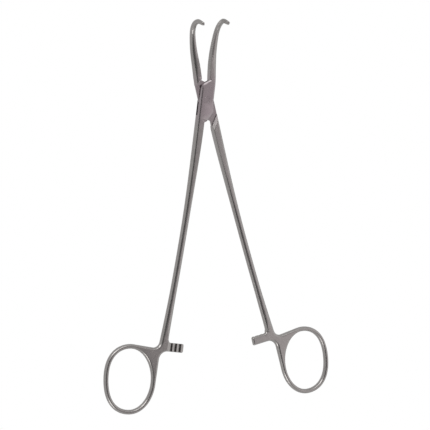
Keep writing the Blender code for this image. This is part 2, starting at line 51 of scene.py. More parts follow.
# Box lock, measured from the pivot. CHEEK_BREAK is how far across and down the foot's edge bends.
LOCK_THICKNESS = 4.3 * MM
LOCK_WIDTH = 7.8 * MM
CHEEK_TOP = 9.4 * MM
CHEEK_SLOPE = math.radians(37)
CHEEK_FLARE = 0.45 * MM
CHEEK_CORNER = 5.5 * MM
CHEEK_BREAK = (1.55 * MM, 10.45 * MM)
TONGUE_BOTTOM = 10.6 * MM
SHOULDER_LOW = 7.9 * MM
SHOULDER_SLOPE = math.radians(52)
SHOULDER_BEVEL = 1.05 * MM
SHOULDER_FALL = math.radians(37)
SHOULDER_OPEN = 0.6 * MM
TONGUE_THICKNESS = 1.1 * MM
SLIDE_GAP = 0.25 * MM
SHOULDER_GAP = 0.3 * MM
SLOT_MOUTH = 4 * MM
RIVET_DIAMETER = 2.6 * MM
RIVET_SEAT_GAP = 0.12 * MM
RIVET_RUNNING_GAP = 0.2 * MM
CHEEK_SIDE_ROUNDING = 1.3 * MM
CHEEK_TOP_ROUNDING = 0.45 * MM
CHEEK_BOTTOM_ROUNDING = 0.75 * MM
SHANK_EDGE_ROUNDING = 0.35 * MM
NOTCH_DEPTH = 0.8 * MM
NOTCH_FILLET = 0.5 * MM

# Jaw, measured along its middle line from the pivot. Its back's rounding is a share of its width.
JAW_CLEAR = 2 * MM
JAW_STRAIGHT = 19.5 * MM
JAW_SWEEP_RADIUS = 32 * MM
JAW_SWEEP = math.radians(23)
JAW_HOOK_RADIUS = 8.5 * MM
JAW_HOOK = math.radians(85.5)
JAW_TIP_STRAIGHT = 4.1 * MM
JAW_ROOT_WIDTH = 4.1 * MM
JAW_HOOK_WIDTH = 2.35 * MM
JAW_TIP_WIDTH = 1.4 * MM
JAW_HOOK_THICKNESS = 3.3 * MM
JAW_TIP_THICKNESS = 1.6 * MM
JAW_BACK_ROUNDING = 0.62
JAW_TIP_ROUNDING = 0.6 * MM
JAW_TIP_BACK_RADIUS = 0.63 * MM
JAW_TIP_FACE_RADIUS = 0.28 * MM
JAW_FACE_ROUNDING = 0.25 * MM
HOOK_FACE_ROUNDING = 0.45 * MM
JAW_ROOT_PARTING = 0.45 * MM
JAW_SWERVE = 0.4 * MM
TOOTH_PITCH = 0.9 * MM
TOOTH_DEPTH = 0.3 * MM
TOOTH_GAP = 0.16 * MM
TOOTH_LAND = 0.1 * MM
GROOVE_LIFT = 0.03 * MM
SERRATED_FROM = 15 * MM
SERRATED_FULL = 18 * MM
TIP_PARTING = 0.17 * MM
TIP_PLAIN = 2.2 * MM
TOOTHLESS_TIP = 0.56 * MM

# Shank. Its bow is the power with which it spreads, and its fullness is a share of its width.
SHANK_TOP = 12.6 * MM
SHANK_ROOT = 1.9 * MM
SHANK_ROOT_WIDTH = 4.03 * MM
SHANK_WIDTH = 3.15 * MM
SHANK_WEB_WIDTH = 3.9 * MM
SHANK_THICKNESS = 3.3 * MM
SHANK_SPREAD = 5.05 * MM
SHANK_BOW = 1.8
SHANK_TAPER_START = 15 * MM
SHANK_TAPER_END = 70 * MM
SHANK_NARROWED = 64 * MM
SHANK_FLARE = 26 * MM
EDGE_FULLNESS = 0.46

# Ratchet
BAR_NEAR = 117.85 * MM
BAR_HEIGHT = 4.25 * MM
BAR_REACH = 3.8 * MM
BAR_CORNER = 0.9 * MM
BAR_ROUNDING = 0.8 * MM
BAR_STEP = 4.9 * MM
BAR_STEP_SLOPE = 0.5 * MM
BAR_STEP_ABOVE = 0.6 * MM
RATCHET_TEETH = 3
RATCHET_PITCH = 2.25 * MM
RATCHET_DEPTH = 0.7 * MM
RATCHET_GAP = 0.4 * MM
RATCHET_LEAN = 0.25 * MM
RATCHET_LAND = 0.35 * MM

# Web and finger ring
WEB_THICKNESS = 3.4 * MM
WEB_CROTCH_FILLET = 3.3 * MM
WEB_RING_FILLET = 4.1 * MM
WEB_SHANK_FILLET = 1.9 * MM
WEB_OUTER_ROUNDING = 1.3 * MM
WEB_INNER_ROUNDING = 0.8 * MM
WEB_FLAT_START = 8 * MM
WEB_OUTER_LEAD = 2 * MM
WEB_INNER_LEAD = 3 * MM
CROTCH_ACROSS = 0.6 * MM
CROTCH_RISE = 0.2 * MM
RING_CORNER_ACROSS = 1.6 * MM
RING_THICKNESS = 3.2 * MM
RING_WIRE = 2.2 * MM
RING_CENTRE_ACROSS = 22.05 * MM
RING_CENTRE_DOWN = 136.8 * MM
RING_LENGTH = 31.1 * MM
RING_BREADTH = 24.1 * MM
RING_FULLNESS = 0.55 * MM
RING_TILT = math.radians(7.3)

# Making. A cutter reaches past what it cuts. The room for a rounded corner is so many of its
# roundings, and a mitre is held to so many times the rounding. The rest is how fine the meshes are.
OVERCUT = 0.3 * MM
CORNER_ROOM = 1.2
TIP_ROOM = 1.6
LONGEST_MITRE = 2
SHARP_ANGLE = math.radians(30)
WELD = 0.001 * MM
EDGE_ROWS = 12
RING_STEPS = 132
ARC_STEP = math.radians(6)
SHANK_STEP = 3 * MM
JAW_STEP = 0.7 * MM
LOCK_SIDE_STEP = 9 * MM
ROUND_STEPS = 96

# What follows from the sizes above
HALF_LOCK = LOCK_THICKNESS / 2
LOCK_SIDE = LOCK_WIDTH / 2
CUT_REACH = 2 * LOCK_SIDE
CHEEK_BEND = (CHEEK_BREAK[0], -CHEEK_BREAK[1])
CHEEK_TIP = (LOCK_SIDE + CHEEK_FLARE, -CHEEK_CORNER)
SLANTED_GAP = SHOULDER_GAP / math.cos(CHEEK_SLOPE)
RIVET_SEAT = RIVET_DIAMETER / 2 + RIVET_SEAT_GAP
HOOK_START = JAW_STRAIGHT + JAW_SWEEP_RADIUS * JAW_SWEEP
HOOK_END = HOOK_START + JAW_HOOK_RADIUS * JAW_HOOK
JAW_LENGTH = HOOK_END + JAW_TIP_STRAIGHT
JAW_TOE_IN = (RATCHET_TEETH - 1) * RATCHET_PITCH / 2 / (BAR_NEAR + BAR_HEIGHT / 2)

# The photograph's view: its side, the focal length and the pivot's place in pixels, a pixel's size
# at the pivot, and how the camera is turned. The sensor is in millimetres.
IMAGE_SIDE = 430
FOCAL_PIXELS = 1644
PIVOT_PIXEL = (205.64, 99.59)
PIXEL = 0.4811 * MM
SENSOR_WIDTH = 36
CLIPPING = (0.01, 10)
CAMERA_SWING = math.radians(-25)
CAMERA_LIFT = math.radians(2.02)
CAMERA_ROLL = math.radians(-2.87)

# Hand-ground bevels of the box lock. The ends are where a bevel starts and stops across the lock.
BEVEL_TOP_WIDTH = 0.8 * MM
BEVEL_TOP_SLOPE = math.radians(32)
BEVEL_TOP_ENDS = (0.7 * MM, -3 * MM)
BEVEL_FOOT_WIDTH = 1.25 * MM
BEVEL_FOOT_SLOPE = math.radians(30)
BEVEL_JAW_WIDTH = 0.45 * MM
BEVEL_JAW_SLOPE = math.radians(32)
BEVEL_JAW_ENDS = (-2.5 * LOCK_SIDE, 1.3 * LOCK_SIDE)
BEVEL_PAST = 0.08 * MM
RIVET_BEVEL = 0.04 * MM
RIVET_DISH = 0.01 * MM
DISH_STEPS = 5

# Bright edges, the warm bloom round the pivot, and painted shade with tarnish in the crevices, dark
# where ambient occlusion finds the surface sheltered. A span holds the two values between which a
# mask grows or fades, and patches the part of its strength that the clouds add and the rest.
EDGE_BREAK = 0.1 * MM
EDGE_COLOUR = (0.6, 0.575, 0.57, 1)
EDGE_GLOSS = 0.08
EDGE_SPAN = (0.995, 0.9)
EDGE_PATCHES = (0.8, 0.5)
EDGE_SAMPLES = 6
BLOOM_COLOUR = (0.46, 0.39, 0.42, 1)
BLOOM_SHARE = 0.7
BLOOM_SPAN = (8 * MM, 16 * MM)
SHADE_TARNISH_REACH = 0.9 * MM
# Colour of the painted crevice shade and tarnish
SHADE_TARNISH_COLOUR = (0.16, 0.14, 0.14, 1)
SHADE_TARNISH_ROUGHNESS = 0.2
SHADE_TARNISH_SPAN = (0.92, 0.3)
SHADE_TARNISH_PATCHES = (0.6, 0.7)
SHADE_TARNISH_SAMPLES = 8

# Brushed lines and clouds: detail and roughness of their noise, the lines' share in the shade, and
# the span of the shade between the dark and the light colour
LINE_NOISE = (3, 0.6)
CLOUD_NOISE = (4, 0.55)
LINE_SHARE = 0.35
SHADE_SPAN = (0.35, 0.65)

# Finishes. Turned means that the lines run round the axis.
SATIN = {
    "turned": False,
    "line_width": 0.06 * MM,
    "line_length": 2.5 * MM,
    "cloud_size": 1.6 * MM,
    "dark": (0.44, 0.42, 0.408, 1),
    "light": (0.5, 0.478, 0.464, 1),
    "roughness": 0.2,
    "roughness_range": 0.12,
    "relief": 0.004 * MM,
    "shade_and_tarnish": 0.6,
}
TURNED = {**SATIN, "turned": True, "line_width": 0.05 * MM, "cloud_size": 0.8 * MM, "shade_and_tarnish": 0.1}

# Studio. The cards hang inside the tent, each a little nearer than the one before: name, angles
# across and up from the lens, width and height in degrees, brightness and tint.
FLOOR_COLOUR = (0.9, 0.9, 0.9, 1)
FLOOR_REACH = 2
FLOOR_DROP = 0.05 * MM
TENT_RADIUS = 1
TENT_STEPS = 48
TENT_LEVEL = 0.55
MAT_LEVEL = 0.55
CARD_REACH = 0.95
CARD_SPACING = 0.02
CARD_STEPS = 12
NEUTRAL = (1, 1, 1, 1)
ROSE = (1, 0.95, 0.97, 1)
CARDS = [
    ("dark_card", -5, -12, 54, 62, 0.1, NEUTRAL),
    ("dim_card", 36, -8, 28, 66, 0.27, ROSE),
    ("rose_card", 62, -8, 24, 66, 0.72, ROSE),
    ("right_fill", 100, 0, 52, 60, 0.72, NEUTRAL),
    ("upper_softbox", -35, 48, 60, 26, 2.5, NEUTRAL),
    ("upper_fill", 30, 48, 60, 26, 0.9, NEUTRAL),
    ("edge_light", 15, 67, 34, 16, 3, NEUTRAL),
    ("lower_softbox", -45, -55, 45, 22, 2.4, NEUTRAL),
]


def ease(value, start, end):
    """0 before start, 1 after end, and a smooth rise between."""
    share = min(max((value - start) / (end - start), 0), 1)
    return share * share * (3 - 2 * share)


def blend(first, second, share):
    """The value a share of the way from the first to the second."""
    return first + (second - first) * share


def jaw_turn(y):
    """How far the jaw has turned up at a distance along its middle line."""
    sweep = min(max(y - JAW_STRAIGHT, 0) / JAW_SWEEP_RADIUS, JAW_SWEEP)
    hook = min(max(y - HOOK_START, 0) / JAW_HOOK_RADIUS, JAW_HOOK)
    return sweep + hook


def bent_line(y):
    """The point (along, up) that a point of the middle line comes to when the jaw is bent."""
    sweep = jaw_turn(min(y, HOOK_START))
    turn = jaw_turn(y)
    along = min(y, JAW_STRAIGHT) + JAW_SWEEP_RADIUS * math.sin(sweep)
    up = JAW_SWEEP_RADIUS * (1 - math.cos(sweep))
    along += JAW_HOOK_RADIUS * (math.sin(turn) - math.sin(sweep))
    up += JAW_HOOK_RADIUS * (math.cos(sweep) - math.cos(turn))
    rest = max(y - HOOK_END, 0)
    return along + rest * math.cos(turn), up + rest * math.sin(turn)


def jaw_taper(y, root, hook, tip):
    """A size of the jaw that changes evenly from root to hook, and from hook to tip."""
    if y < HOOK_START:
        return blend(root, hook, (y - CHEEK_TOP) / (HOOK_START - CHEEK_TOP))
    return blend(hook, tip, (y - HOOK_START) / (JAW_LENGTH - HOOK_START))


def half_thickness(y):
    """Half of the forging's thickness at a height along it."""
    if y > CHEEK_TOP:
        return jaw_taper(y, LOCK_THICKNESS, JAW_HOOK_THICKNESS, JAW_TIP_THICKNESS) / 2
    shank = blend(HALF_LOCK, SHANK_THICKNESS / 2, ease(-y, SHANK_TAPER_START, SHANK_TAPER_END))
    web = blend(shank, WEB_THICKNESS / 2, ease(-y, BAR_NEAR - SHANK_FLARE, BAR_NEAR))
    ring_top = RING_CENTRE_DOWN - RING_LENGTH / 2
    return blend(web, RING_THICKNESS / 2, ease(-y, ring_top, RING_CENTRE_DOWN))


def shank_centre(y):
    """Where the middle of the bowed shank lies at a height."""
    share = (-y - SHANK_TOP) / (BAR_NEAR - SHANK_TOP)
    return -(SHANK_ROOT + SHANK_SPREAD * max(share, 0) ** SHANK_BOW)


def shank_width(y):
    """The shank narrows from the lock, and flares again to the web."""
    narrowed = blend(SHANK_ROOT_WIDTH, SHANK_WIDTH, ease(-y, SHANK_TOP, SHANK_NARROWED))
    return blend(narrowed, SHANK_WEB_WIDTH, ease(-y, BAR_NEAR - SHANK_FLARE, BAR_NEAR))


def shank_edge(y, side):
    """Point on the shank's outer (side -1) or inner (side 1) edge, with its rounding."""
    width = shank_width(y)
    full = EDGE_FULLNESS * width
    root = CHEEK_SIDE_ROUNDING if side < 0 else SHANK_EDGE_ROUNDING
    rounding = blend(root, full, ease(-y, SHANK_TOP, SHANK_TAPER_END))
    foot = WEB_OUTER_ROUNDING if side < 0 else WEB_INNER_ROUNDING
    rounding = blend(rounding, foot, ease(-y, BAR_NEAR - WEB_FLAT_START, BAR_NEAR))
    return (shank_centre(y) + side * width / 2, y, rounding)


def jaw_line(y, swerve):
    """The line that the jaw follows: toed in, and with its tip a little to one side.

    The jaws meet when the first ratchet teeth catch, two pitches before the bars are home.
    """
    reach, _ = bent_line(y)
    late = max(y - SERRATED_FROM, 0) / (JAW_LENGTH - SERRATED_FROM)
    return (TOOTH_GAP - TOOTH_DEPTH) / 2 - JAW_TOE_IN * reach - swerve * late * late


def jaw_face(y, swerve):
    """Where the crests of the jaw's face lie: on its line, but parted at the root and the tip."""
    parting = JAW_ROOT_PARTING * (1 - ease(y, CHEEK_TOP, SERRATED_FULL))
    parting += TIP_PARTING * ease(y, JAW_LENGTH - TIP_PLAIN, JAW_LENGTH - TIP_PLAIN / 2)
    return jaw_line(y, swerve) + parting


def ring_point(angle, growth):
    """Point that lies a growth outside the ring's middle line: an ellipse, fuller on its outer side."""
    if math.cos(angle) < 0:
        growth += RING_FULLNESS * math.sin(2 * angle) ** 2
    along = (RING_LENGTH / 2 + growth) * math.sin(angle)
    across = (RING_BREADTH / 2 + growth) * math.cos(angle)
    turn, lean = math.cos(RING_TILT), math.sin(RING_TILT)
    x = across * turn - along * lean
    y = across * lean + along * turn
    return (x - RING_CENTRE_ACROSS, y - RING_CENTRE_DOWN)


def tangent_angle(point, growth, side):
    """Angle on that ellipse where the straight line to a point outside it touches it."""
    dx, dy = point[0] + RING_CENTRE_ACROSS, point[1] + RING_CENTRE_DOWN
    turn, lean = math.cos(RING_TILT), math.sin(RING_TILT)
    across = (dx * turn + dy * lean) / (RING_BREADTH / 2 + growth)
    along = (dy * turn - dx * lean) / (RING_LENGTH / 2 + growth)
    return math.atan2(along, across) + side * math.acos(1 / math.hypot(across, along))


def corner(before, at, after, radius, rounding, end_rounding=None):
    """Points of the arc that rounds a corner of the outline."""
    first = (before[0] - at[0], before[1] - at[1])
    second = (after[0] - at[0], after[1] - at[1])
    first_length, second_length = math.hypot(*first), math.hypot(*second)
    first = (first[0] / first_length, first[1] / first_length)
    second = (second[0] / second_length, second[1] / second_length)
    between = math.acos(first[0] * second[0] + first[1] * second[1])
    middle = (first[0] + second[0], first[1] + second[1])
    middle_length = math.hypot(*middle)
    away = radius / math.sin(between / 2)
    centre = (at[0] + middle[0] / middle_length * away, at[1] + middle[1] / middle_length * away)
    reach = radius / math.tan(between / 2)
    start = (at[0] + first[0] * reach - centre[0], at[1] + first[1] * reach - centre[1])
    end = (at[0] + second[0] * reach - centre[0], at[1] + second[1] * reach - centre[1])
    turn = math.atan2(start[0] * end[1] - start[1] * end[0], start[0] * end[0] + start[1] * end[1])
    steps = max(2, round(abs(turn) / ARC_STEP))
    points = []
    for step in range(steps + 1):
        angle = turn * step / steps
        x = start[0] * math.cos(angle) - start[1] * math.sin(angle)
        y = start[0] * math.sin(angle) + start[1] * math.cos(angle)
        edge = rounding if end_rounding is None else blend(rounding, end_rounding, step / steps)
        points.append((centre[0] + x, centre[1] + y, edge))
    return points


def stations(start, end, longest):
    """Heights from start to end, both included, in equal steps."""
    steps = max(1, round(abs(end - start) / longest))
    return [blend(start, end, step / steps) for step in range(steps + 1)]


def cheek_top(x):
    """Height of the cheeks' oblique top edge."""
    return CHEEK_TOP + x * math.tan(CHEEK_SLOPE)


def lock_side_points(side, low):
    """A side of the box lock, from the jaw end down to a height."""
    top = CHEEK_TOP if side > 0 else cheek_top(-LOCK_SIDE)
    heights = stations(top - CORNER_ROOM * CHEEK_SIDE_ROUNDING, low, LOCK_SIDE_STEP)
    return [(side * LOCK_SIDE, y, CHEEK_SIDE_ROUNDING) for y in heights]


def cheek_foot_points():
    """Lower end of the cheeks: from the shank, steeply up to the flared corner."""
    edge = CHEEK_BOTTOM_ROUNDING
    inner = shank_edge(-SHANK_TOP, 1)
    notch = (inner[0], CHEEK_BEND[1] - NOTCH_DEPTH)
    points = corner(inner, notch, CHEEK_BEND, NOTCH_FILLET, SHANK_EDGE_ROUNDING)
    points += [(*CHEEK_BEND, edge)]
    points += corner(CHEEK_BEND, CHEEK_TIP, (LOCK_SIDE, 0), edge, edge)
    return points


def tongue_foot_points():
    """Lower end of the tongue. It is hidden in the slot, and stops at the slot's wall."""
    inner = shank_edge(-SHANK_TOP, 1)
    edge = SHANK_EDGE_ROUNDING
    slope = math.tan(CHEEK_SLOPE)
    notch = (inner[0], -TONGUE_BOTTOM + inner[0] * slope)
    tip = (LOCK_SIDE, -TONGUE_BOTTOM + LOCK_SIDE * slope)
    return [(*notch, edge)] + corner(notch, tip, (LOCK_SIDE, 0), CORNER_ROOM * edge, edge)


def jaw_points(swerve):
    """The jaw's outline, up its back, round its tip and down its face."""
    back, face = [], []
    tip = JAW_LENGTH - TIP_ROOM * JAW_TIP_BACK_RADIUS
    for y in stations(CHEEK_TOP + JAW_CLEAR, tip, JAW_STEP):
        width = jaw_taper(y, JAW_ROOT_WIDTH, JAW_HOOK_WIDTH, JAW_TIP_WIDTH)
        rounding = blend(CHEEK_SIDE_ROUNDING, JAW_BACK_ROUNDING * width, ease(y, CHEEK_TOP, JAW_STRAIGHT))
        rounding = blend(rounding, JAW_TIP_ROUNDING, ease(y, tip - JAW_TIP_STRAIGHT, tip))
        back.append((jaw_line(y, swerve) + width, y, rounding))
        edge = blend(JAW_FACE_ROUNDING, HOOK_FACE_ROUNDING, ease(y, JAW_STRAIGHT, HOOK_START))
        face.append((jaw_face(y, swerve), y, edge))
    inner = jaw_face(JAW_LENGTH, swerve)
    low, high = (inner + JAW_TIP_WIDTH, JAW_LENGTH), (inner, JAW_LENGTH)
    end = corner(back[-1], low, high, JAW_TIP_BACK_RADIUS, JAW_TIP_ROUNDING)
    end += corner(low, high, face[-1], JAW_TIP_FACE_RADIUS, JAW_FACE_ROUNDING)
    return back + end + face[::-1]


def web_points():
    """From the foot of the shank's outer edge round the ring and the ratchet bar."""
    growth = RING_WIRE / 2
    edge = EDGE_FULLNESS * RING_WIRE
    bar_far = BAR_NEAR + BAR_HEIGHT
    outer_foot = shank_edge(-BAR_NEAR, -1)
    crotch = (outer_foot[0] - CROTCH_ACROSS, -RING_CENTRE_DOWN + RING_LENGTH / 2 + CROTCH_RISE)
    ring_corner = (-RING_CENTRE_ACROSS + RING_BREADTH / 2 + RING_CORNER_ACROSS, -bar_far)
    first = tangent_angle(crotch, growth, 1)
    last = tangent_angle(ring_corner, growth, -1) + 2 * math.pi
    ring_start = ring_point(first, growth)
    points = corner(outer_foot, crotch, ring_start, WEB_CROTCH_FILLET, WEB_OUTER_ROUNDING)
    for angle in stations(first, last, 2 * math.pi / RING_STEPS):
        points.append((*ring_point(angle, growth), edge))
    end_far, end_near = (BAR_REACH, -bar_far), (BAR_REACH, -BAR_NEAR)
    inner_foot = shank_edge(-BAR_NEAR, 1)
    above = shank_edge(-BAR_NEAR + SHANK_STEP, 1)
    edges = (WEB_OUTER_ROUNDING, BAR_ROUNDING)
    points += corner(points[-1], ring_corner, end_far, WEB_RING_FILLET, *edges)
    points += corner(ring_corner, end_far, end_near, BAR_CORNER, BAR_ROUNDING)
    points += corner(end_far, end_near, inner_foot, BAR_CORNER, BAR_ROUNDING)
    edges = (BAR_ROUNDING, WEB_INNER_ROUNDING)
    points += corner(end_near, inner_foot, above, WEB_SHANK_FILLET, *edges)
    return points


def outline_points(swerve, foot):
    """The whole closed outline of one half, anticlockwise, each point with its edge rounding."""
    edge = CHEEK_TOP_ROUNDING
    inner = jaw_face(CHEEK_TOP, swerve)
    notch = (inner, cheek_top(inner))
    tip = (-LOCK_SIDE, cheek_top(-LOCK_SIDE))
    left = lock_side_points(-1, -TONGUE_BOTTOM + CHEEK_SIDE_ROUNDING)
    right = lock_side_points(1, 0)[::-1]
    down = stations(SHANK_TOP, BAR_NEAR - WEB_OUTER_LEAD, SHANK_STEP)
    up = stations(BAR_NEAR - WEB_INNER_LEAD, SHANK_TOP, SHANK_STEP)
    outer = [shank_edge(-y, -1) for y in down]
    inward_edge = [shank_edge(-y, 1) for y in up]
    points = [(*notch, edge)]
    points += corner(notch, tip, left[0], CORNER_ROOM * edge, edge)
    points += left + outer + web_points() + inward_edge
    points += foot + right + jaw_points(swerve)
    return points


def ring_hole_points():
    """The finger hole, clockwise, so that the material is on its left too."""
    growth = -RING_WIRE / 2
    angles = [-2 * math.pi * step / RING_STEPS for step in range(RING_STEPS)]
    return [(*ring_point(angle, growth), EDGE_FULLNESS * RING_WIRE) for angle in angles]


def inward(points):
    """For each point, the move that shifts both of its edges inwards by 1."""
    moves = []
    for index, (x, y, _) in enumerate(points):
        before, after = points[index - 1], points[(index + 1) % len(points)]
        first = math.atan2(y - before[1], x - before[0])
        second = math.atan2(after[1] - y, after[0] - x)
        turn = (second - first + math.pi) % (2 * math.pi) - math.pi
        normal = first + turn / 2 + math.pi / 2
        reach = 1 / max(math.cos(turn / 2), 1 / LONGEST_MITRE)
        moves.append((math.cos(normal) * reach, math.sin(normal) * reach))
    return moves


def curve_jaw(co):
    """Bends the flat forging: each cross-section follows the jaw's middle line up."""
    if co.y <= JAW_STRAIGHT:
        return
    turn = jaw_turn(co.y)
    along, up = bent_line(co.y)
    co.y = along - co.z * math.sin(turn)
    co.z = up + co.z * math.cos(turn)


def join_rows(bm, lower, upper):
    """Faces between two closed rows with as many vertices."""
    for index in range(len(lower)):
        following = (index + 1) % len(lower)
        bm.faces.new((lower[index], lower[following], upper[following], upper[index]))


def prism(bm, first, last):
    """A solid between two like cross-sections."""
    bm.faces.new(first[::-1])
    bm.faces.new(last)
    join_rows(bm, first, last)


def edge_rows(bm, points):
    """Rows of the outline that step inwards and up to each face, as a round edge does."""
    moves = inward(points)
    rows = []
    for row in range(-EDGE_ROWS, EDGE_ROWS + 1):
        angle = math.pi / 2 * row / EDGE_ROWS
        verts = []
        for (x, y, rounding), move in zip(points, moves):
            inset = rounding * (1 - math.cos(angle))
            height = half_thickness(y) * math.sin(angle)
            verts.append(bm.verts.new((x + move[0] * inset, y + move[1] * inset, height)))
        rows.append(verts)
    for lower, upper in zip(rows, rows[1:]):
        join_rows(bm, lower, upper)
    return rows[0], rows[-1]


def close_face(bm, loops):
    """Fills the flat face between the outer row and the row round the hole."""
    edges = []
    for loop in loops:
        for index, vert in enumerate(loop):
            edges.append(bm.edges.get((vert, loop[(index + 1) % len(loop)])))
    bmesh.ops.triangle_fill(bm, use_beauty=True, edges=edges, normal=(0, 0, 1))


def new_object(name, data):
    """Puts a new object into the scene."""
    obj = bpy.data.objects.new(name, data)
    bpy.context.scene.collection.objects.link(obj)
    return obj


def mesh_object(name, bm):
    """A new object with the mesh that has been built."""
    mesh = bpy.data.meshes.new(name)
    bm.to_mesh(mesh)
    bm.free()
    return new_object(name, mesh)


def solid_object(name, bm):
    """The same for a closed mesh, whose faces are turned out."""
    bmesh.ops.recalc_face_normals(bm, faces=bm.faces)
    return mesh_object(name, bm)


def jaw_shaped(name, bm, mirrored):
    """A new object of a flat mesh: its jaw is bent up, and the tongue half's is mirrored."""
    for vert in bm.verts:
        curve_jaw(vert.co)
        if mirrored:
            vert.co.x = -vert.co.x
    return solid_object(name, bm)


def plate(name, outline, low, high):
    """A flat plate with straight sides, from a 2D curve that is made a mesh."""
    curve = bpy.data.curves.new(name, "CURVE")
    curve.dimensions = "2D"
    curve.fill_mode = "BOTH"
    curve.extrude = (high - low) / 2
    spline = curve.splines.new("POLY")
    spline.points.add(len(outline) - 1)
    for point, (x, y) in zip(spline.points, outline):
        point.co = (x, y, 0, 1)
    spline.use_cyclic_u = True
    drawn = new_object(name + "_outline", curve)
    bpy.context.view_layer.update()
    graph = bpy.context.evaluated_depsgraph_get()
    mesh = bpy.data.meshes.new_from_object(drawn.evaluated_get(graph))
    bpy.data.objects.remove(drawn)
    bm = bmesh.new()
    bm.from_mesh(mesh)
    bmesh.ops.remove_doubles(bm, verts=bm.verts, dist=WELD)
    bmesh.ops.translate(bm, verts=bm.verts, vec=(0, 0, (low + high) / 2))
    bmesh.ops.recalc_face_normals(bm, faces=bm.faces)
    bm.to_mesh(mesh)
    bm.free()
    return new_object(name, mesh)


def round_bar(name, radius, low, high):
    """A round bar along Z, on the pivot's axis."""
    bm = bmesh.new()
    bmesh.ops.create_cone(
        bm, cap_ends=True, segments=ROUND_STEPS, radius1=radius, radius2=radius, depth=high - low
    )
    bmesh.ops.translate(bm, verts=bm.verts, vec=(0, 0, (low + high) / 2))
    return mesh_object(name, bm)


def slot_outline():
    """The space for the tongue: open at both sides, closed at the roots of shank and jaw."""
    rise = CUT_REACH * math.tan(CHEEK_SLOPE)
    low, high = -TONGUE_BOTTOM - SLANTED_GAP, CHEEK_TOP + SLANTED_GAP
    right = [(CUT_REACH, low - SLOT_MOUTH), (CUT_REACH, high - rise)]
    return [(-CUT_REACH, low + rise), (0, low), *right, (0, high), (-CUT_REACH, high)]


def recess_outline():
    """The space for a cheek beside the tongue: a band between two shoulders."""
    rise = CUT_REACH * math.tan(CHEEK_SLOPE)
    slope = math.tan(SHOULDER_SLOPE)
    high = CHEEK_TOP + SLANTED_GAP + SHOULDER_OPEN
    low_left = (-CUT_REACH, -SHOULDER_LOW - (CUT_REACH + LOCK_SIDE) * slope)
    low_right = (CUT_REACH, -SHOULDER_LOW + (CUT_REACH - LOCK_SIDE) * slope)
    return [low_left, low_right, (CUT_REACH, high + rise), (-CUT_REACH, high - rise)]


def shoulder_bevel(name, side):
    """A cutter that breaks the lower shoulder's edge, on the front (side 1) or the back (side -1).

    It is the recess again: its foot slants out to the face, and its top stays clear of the jaw.
    """
    low, high = HALF_LOCK - SHOULDER_BEVEL - OVERCUT, HALF_LOCK + OVERCUT
    cutter = plate(name, recess_outline(), low, high)
    for vert in cutter.data.vertices:
        if vert.co.y < 0:
            beyond = vert.co.z - HALF_LOCK + SHOULDER_BEVEL
            vert.co.y -= beyond / math.tan(SHOULDER_FALL) / math.cos(SHOULDER_SLOPE)
        else:
            vert.co.y -= LOCK_SIDE
        vert.co.z *= side
    if side < 0:
        cutter.data.flip_normals()
    return cutter


def serration_cutter(name, mirrored):
    """V-grooves across the jaw's face. The other jaw's are half a pitch away, so they mesh."""
    bm = bmesh.new()
    swerve = -JAW_SWERVE if mirrored else JAW_SWERVE
    start = SERRATED_FROM + (TOOTH_PITCH / 2 if mirrored else 0)
    count = int((JAW_LENGTH - TOOTHLESS_TIP - start) / TOOTH_PITCH)
    half_mouth = (TOOTH_PITCH - TOOTH_LAND) / 2
    half_width = half_mouth * (TOOTH_DEPTH + GROOVE_LIFT) / TOOTH_DEPTH
    for tooth in range(count):
        middle = start + tooth * TOOTH_PITCH
        half = half_thickness(middle) + OVERCUT
        section = [(jaw_face(middle, swerve) + TOOTH_DEPTH, middle)]
        for y in (middle + half_width, middle - half_width):
            section.append((jaw_face(y, swerve) - GROOVE_LIFT, y))
        ends = []
        for z in (-half, half):
            ends.append([bm.verts.new((x, y, z)) for x, y in section])
        prism(bm, *ends)
    return jaw_shaped(name, bm, mirrored)


def ratchet_tooth_outline():
    """The space above a ratchet bar, in X and Z: a step down from the web, then the sawtooth line."""
    crest = RATCHET_DEPTH / 2 - RATCHET_GAP / 2
    valley = crest - RATCHET_DEPTH
    above = WEB_THICKNESS / 2 + OVERCUT
    first = -(RATCHET_TEETH - 1) / 2 * RATCHET_PITCH + RATCHET_GAP / 4
    line = [(-BAR_STEP - BAR_STEP_SLOPE, above), (-BAR_STEP, crest)]
    for tooth in range(RATCHET_TEETH):
        steep = first + tooth * RATCHET_PITCH
        line += [(steep - RATCHET_LEAN, valley), (steep, crest), (steep + RATCHET_LAND, crest)]
    beyond = first + RATCHET_TEETH * RATCHET_PITCH - RATCHET_LEAN
    return line + [(beyond, valley), (beyond, above)]


def ratchet_cutter(name, side):
    """Cuts a bar down to its ratchet teeth: side -1 teeth up, 1 teeth down and mirrored."""
    low, high = -BAR_HEIGHT / 2 - BAR_STEP_ABOVE, BAR_HEIGHT
    cutter = plate(name, ratchet_tooth_outline(), low, high)
    for vert in cutter.data.vertices:
        x, z, y = vert.co
        vert.co = (-side * x, -y - BAR_NEAR - BAR_HEIGHT / 2, -side * z)
    bm = bmesh.new()
    bm.from_mesh(cutter.data)
    bmesh.ops.recalc_face_normals(bm, faces=bm.faces)
    bm.to_mesh(cutter.data)
    bm.free()
    return cutter


# Making of the steel pieces

def forging(name, mirrored):
    """One half in the round: outline with round edges, finger hole, and jaw bent up."""
    bm = bmesh.new()
    swerve = -JAW_SWERVE if mirrored else JAW_SWERVE
    foot = tongue_foot_points() if mirrored else cheek_foot_points()
    outlines = (outline_points(swerve, foot), ring_hole_points())
    loops = [edge_rows(bm, points) for points in outlines]
    close_face(bm, [low for low, _ in loops])
    close_face(bm, [high for _, high in loops])
    return jaw_shaped(name, bm, mirrored)


